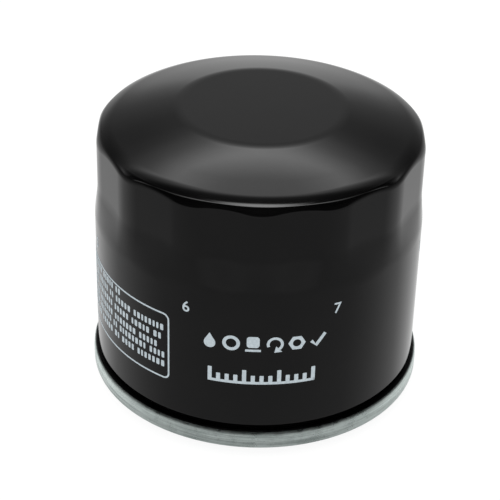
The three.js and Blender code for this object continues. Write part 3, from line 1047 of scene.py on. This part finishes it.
def stroke(points, width):
    """A filled line of even width along open points, as one face for each stretch."""
    half = width / 2
    sides = []
    for i, point in enumerate(points):
        before = Vector(points[max(i - 1, 0)])
        after = Vector(points[min(i + 1, len(points) - 1)])
        here = Vector(point)
        way = (after - before).normalized()
        across = Vector((-way.y, way.x)) * half
        if 0 < i < len(points) - 1:
            bend = (after - here).normalized().dot(way)
            across /= max(bend, 0.5)
        sides.append(((here + across)[:], (here - across)[:]))
    return [[a[0], a[1], b[1], b[0]] for a, b in zip(sides, sides[1:])]


def drop(x, y, size):
    """An oil drop, size tall."""
    radius = size * 0.34
    low_y = y - size / 2 + radius
    round_part = [math.radians(a) for a in range(148, 393, 14)]
    points = [(x + radius * math.cos(a), low_y + radius * math.sin(a)) for a in round_part]
    return [[*points, (x, y + size / 2)]]


def turn_arrow(x, y, size):
    """A clockwise arrow round most of a circle."""
    radius = size * 0.4
    turns = [math.radians(a) for a in range(205, -56, -13)]
    arc = [(x + radius * math.cos(a), y + radius * math.sin(a)) for a in turns]
    tip = Vector(arc[-1])
    way = (tip - Vector(arc[-2])).normalized()
    across = Vector((-way.y, way.x)) * size * 0.26
    head = [(tip + across)[:], (tip - across)[:], (tip + way * size * 0.36)[:]]
    return stroke(arc, size * 0.16) + [head]


def nut(x, y, size):
    """A hexagon with a round bore, for the threaded stud."""
    sides = 36
    outer = []
    for i in range(sides):
        turn = 2 * math.pi * i / sides
        edge = size / 2 * math.cos(math.pi / 6) / math.cos(turn % (math.pi / 3) - math.pi / 6)
        outer.append((x + edge * math.cos(turn), y + edge * math.sin(turn)))
    return loop_band(outer, circle(x, y, size * 0.24, sides))


def small_can(x, y, size):
    body = rectangle(x, y + size * 0.13, size * 0.72, size * 0.74, size * 0.18)
    return body + rectangle(x, y - size * 0.43, size * 0.88, size * 0.15, 0.08)


def check_mark(x, y, size):
    corners = ((-0.4, 0), (-0.1, -0.32), (0.42, 0.4))
    return stroke([(x + size * across, y + size * up) for across, up in corners], size * 0.2)


# A group of marks is the angle in degrees and the height of its own (0, 0), and then its
# faces, drawn flat in millimetres.


def pictogram_row():
    """Drop, gasket, can, turn arrow, nut and check mark, in place of a line of words."""
    middle, size, z = 3.15, 3.4, 26.4
    drawers = (drop, gasket_mark, small_can, turn_arrow, nut, check_mark)
    pitch = 4.2
    faces = []
    for i, draw in enumerate(drawers):
        faces += draw((i - 2.5) * pitch, 0, size)
    return middle, z, faces


def tick_scale():
    """A turning scale: a base line with long and short ticks."""
    middle, z, width, height = 2.65, 18.65, 21.0, 3.3
    faces = rectangle(0, -height / 2 + 0.3, width, 0.6, 0.1)
    ticks = 12
    for i in range(ticks + 1):
        tall = height if i % 4 == 0 else height * 0.62
        x = (i / ticks - 0.5) * (width - 0.8)
        faces += rectangle(x, -height / 2 + tall / 2, 0.8, tall, 0.12)
    return middle, z, faces


PANEL_RIGHT = -29.8
PANEL_TOP, PANEL_BOTTOM = 29.6, 14.2
PANEL_WIDTH = 46.0
PANEL_BORDER = 0.36
PANEL_MARGIN = 2.2
LINE_HEIGHT = 1.4
LETTER_GAP, WORD_GAP = 0.42, 0.75

# A line's lower edge, and the room left free between it and the frame's right side.
LINES = (
    (27.55, 13.8),
    (25.4, 1.4),
    (23.2, 2.0),
    (20.95, 3.0),
    (19.0, 1.2),
    (16.9, 1.2),
)


def notice_panel():
    """A framed notice whose words are only rows of small blocks, drawn from its right side."""
    width, height = PANEL_WIDTH, PANEL_TOP - PANEL_BOTTOM
    frames = []
    for inset in (0, PANEL_BORDER):
        x0, x1, y = -width + inset, -inset, height / 2 - inset
        fillet = 1.4 - inset
        corners = [(x0, -y, fillet, 6), (x1, -y, fillet, 6), (x1, y, fillet, 6), (x0, y, fillet, 6)]
        frames.append([p[:2] for p in rounded(corners)])
    faces = loop_band(*frames)
    dice = random.Random(14)
    for base, right_gap in LINES:
        x = -right_gap
        y = base + LINE_HEIGHT / 2 - (PANEL_TOP + PANEL_BOTTOM) / 2
        while x > PANEL_MARGIN - width:
            for _ in range(dice.choice((2, 4, 5, 7, 8))):
                if x < PANEL_MARGIN - width:
                    break
                letter = dice.choice((0.5, 0.62, 0.62, 0.75))
                faces += rectangle(x - letter / 2, y, letter, LINE_HEIGHT, 0.2)
                x -= letter + LETTER_GAP
            x -= WORD_GAP
    return PANEL_RIGHT, (PANEL_TOP + PANEL_BOTTOM) / 2, faces


def numeral(digit):
    """The faces of a bold numeral 2.4 mm tall, centred on its own middle."""
    curve = bpy.data.curves.new("numeral", "FONT")
    curve.body = str(digit)
    curve.size = 3.3
    curve.offset = 0.03
    curve.align_x = "CENTER"
    thing = bpy.data.objects.new("numeral", curve)
    bpy.context.scene.collection.objects.link(thing)
    bpy.context.view_layer.update()
    mesh = thing.evaluated_get(bpy.context.evaluated_depsgraph_get()).to_mesh()
    spots = [v.co.copy() for v in mesh.vertices]
    middle = (max(s.y for s in spots) + min(s.y for s in spots)) / 2
    faces = [[(spots[i].x, spots[i].y - middle) for i in p.vertices] for p in mesh.polygons]
    bpy.data.objects.remove(thing)
    return faces


def wrapped(name, marks):
    """Flat printed faces bent round the wall as one thin closed layer of ink."""
    work = bmesh.new()
    for middle, z, faces in marks:
        shift = math.radians(middle) * CAN_RADIUS
        for face in faces:
            area = sum(a[0] * b[1] - b[0] * a[1] for a, b in zip(face, face[1:] + face[:1]))
            ring = face if area > 0 else face[::-1]
            work.faces.new([work.verts.new((x + shift, y + z, 0)) for x, y in ring])
    bmesh.ops.remove_doubles(work, verts=work.verts, dist=1e-4)
    # The cuts that let the ink bend miss the marks' own corners by this shift.
    off_corners = 0.013
    for k in range(-BEND_COLUMNS, BEND_COLUMNS):
        geometry = work.verts[:] + work.edges[:] + work.faces[:]
        spot = (k * BEND_STEP + off_corners, 0, 0)
        bmesh.ops.bisect_plane(work, geom=geometry, plane_co=spot, plane_no=(1, 0, 0))
    bmesh.ops.triangulate(work, faces=[f for f in work.faces if len(f.verts) > 4])
    top = bmesh.ops.extrude_face_region(work, geom=work.faces[:])["geom"]
    raised = {v for v in top if isinstance(v, bmesh.types.BMVert)}
    for vertex in work.verts:
        height = PRINT_HEIGHT if vertex in raised else -PRINT_DEPTH
        angle = vertex.co.x / CAN_RADIUS
        vertex.co = at(CAN_RADIUS + height, vertex.co.y, angle) * MM
    bmesh.ops.recalc_face_normals(work, faces=work.faces)
    mesh = bpy.data.meshes.new(name)
    work.to_mesh(mesh)
    work.free()
    thing = bpy.data.objects.new(name, mesh)
    bpy.context.scene.collection.objects.link(thing)
    return thing


NUMERALS = 7
LAST_NUMERAL = 27.9
NUMERAL_HEIGHT = 32.8
marks = [pictogram_row(), tick_scale(), notice_panel()]
for digit in range(1, NUMERALS + 1):
    degrees = LAST_NUMERAL - (NUMERALS - digit) * 360 / NUMERALS
    marks.append((degrees, NUMERAL_HEIGHT, numeral(digit)))
turned_marks = [(middle + math.degrees(CAMERA_TURN), z, faces) for middle, z, faces in marks]
finished(wrapped("printed_marks", turned_marks), INK, "print_ink", "can")

# -------------------------------------------------------------------------------- studio

# What a reflection sees along a great circle over the filter: an angle up from the far
# horizon, 90 overhead and 180 at the near horizon, and the brightness there.
SKY = (
    (-180, 0.03), (-175, 0.03), (-166, 0.36), (-160, 0.44), (-153, 0.345), (-120, 0.36),
    (-90, 0.48), (-56, 0.64), (-46, 0.8), (-38, 0.88), (-32, 0.8), (-12, 0.85), (-2, 0.75),
    (9, 0.79), (15, 0.55), (21, 0.43), (33, 0.4), (39, 0.48), (44, 0.74), (50, 1.6),
    (53, 2.7), (56, 3.8), (62, 1.8), (65, 1.6), (68, 0.95), (71, 0.4), (74, 0.24),
    (79, 0.16), (87.5, 0.16), (89.5, 2.5), (90.5, 7.0), (96, 7.0), (98.5, 0.01),
    (140, 0.05), (180, 0.03),
)
SKY_TOP = 8.0
SIDE_NARROWING = 6.0

# The studio's own sizes and places are in metres.
TENT_RADIUS = 2.0
FLOOR_SIZE = 12
FLOOR_DROP = 0.0002


def reflection_tent():
    """A globe that only reflections see: the studio's bright far side and its dark near side.

    SKY holds in the middle; away from it the upper half fades to black, and at the far left
    and right a plain glow takes over.
    """
    bpy.ops.mesh.primitive_uv_sphere_add(segments=64, ring_count=32, radius=TENT_RADIUS)
    tent = bpy.context.active_object
    tent.name = "reflection_tent"
    glow = Shader("reflection_tent")
    coordinates = glow.node("ShaderNodeTexCoord")
    spot = {0: coordinates.outputs["Object"]}
    unit = glow.node("ShaderNodeVectorMath", spot, operation="NORMALIZE").outputs["Vector"]
    x, y, z = glow.node("ShaderNodeSeparateXYZ", {0: unit}).outputs
    angle = glow.math("ARCTAN2", z, y)
    share = glow.spread(angle, 0, 1, -math.pi, math.pi)
    curve = glow.node("ShaderNodeFloatCurve", {"Value": share})
    points = curve.mapping.curves[0].points
    rows = [((degrees + 180) / 360, value / SKY_TOP) for degrees, value in SKY]
    points[0].location, points[1].location = rows[0], rows[-1]
    for row in rows[1:-1]:
        points.new(*row)
    for point in points:
        point.handle_type = "VECTOR"
    curve.mapping.update()
    sides = glow.math("MULTIPLY", glow.math("MULTIPLY", x, x), -SIDE_NARROWING)
    middle = glow.math("EXPONENT", sides, 0)
    raised = glow.spread(z, 0, 1, -0.3, 0.65)
    dimmed = glow.math("MULTIPLY", raised, glow.math("SUBTRACT", 1.0, middle))
    kept = glow.math("SUBTRACT", SKY_TOP, glow.math("MULTIPLY", dimmed, SKY_TOP))
    middle_glow = glow.math("MULTIPLY", curve.outputs["Value"], kept)
    side_glow = glow.spread(z, 0.45, 0.06, -0.3, 0.25)
    aside = glow.spread(glow.math("MULTIPLY", x, x), 0, 1, 0.76, 0.94)
    both = {"Factor": aside, "A": middle_glow, "B": side_glow}
    strength = glow.node("ShaderNodeMix", both).outputs["Result"]
    emission = glow.node("ShaderNodeEmission", {"Strength": strength})
    output = glow.tree.nodes["Material Output"]
    glow.tree.links.new(emission.outputs["Emission"], output.inputs["Surface"])
    glow.material.cycles.emission_sampling = "NONE"
    tent.data.materials.append(glow.material)
    tent.visible_camera = False
    tent.visible_diffuse = False
    tent.visible_shadow = False
    tent.visible_transmission = False
    tent.visible_volume_scatter = False


def floor():
    bpy.ops.mesh.primitive_plane_add(size=FLOOR_SIZE, location=(0, 0, -FLOOR_DROP))
    ground = bpy.context.active_object
    ground.name = "studio_floor"
    pale = Shader("studio_floor", Roughness=0.9, Emission_Strength=0.9)
    pale.principled.inputs["Base Color"].default_value = (0.15, 0.15, 0.15, 1)
    pale.principled.inputs["Emission Color"].default_value = (1, 1, 1, 1)
    pale.principled.inputs["Specular IOR Level"].default_value = 0.1
    ground.data.materials.append(pale.material)
    ground.visible_glossy = False


def area_light(name, place, size, power):
    data = bpy.data.lights.new(name, "AREA")
    data.size = size
    data.energy = power
    light = bpy.data.objects.new(name, data)
    light.location = place
    aim = Vector((0, 0, 0.03)) - Vector(place)
    light.rotation_euler = aim.to_track_quat("-Z", "Y").to_euler()
    light.visible_glossy = False
    bpy.context.scene.collection.objects.link(light)


def studio():
    world = bpy.data.worlds.new("studio_world")
    bpy.context.scene.world = world
    world.use_nodes = True
    background = world.node_tree.nodes["Background"]
    background.inputs["Color"].default_value = (1, 1, 1, 1)
    background.inputs["Strength"].default_value = 1.04
    world.cycles_visibility.glossy = False
    floor()
    reflection_tent()
    area_light("key_light", (-0.5, -0.6, 0.9), 0.6, 1)
    area_light("top_light", (0.1, 0.3, 1.1), 0.8, 1)
    bpy.context.scene.view_settings.view_transform = "Standard"


studio()
photo_camera()
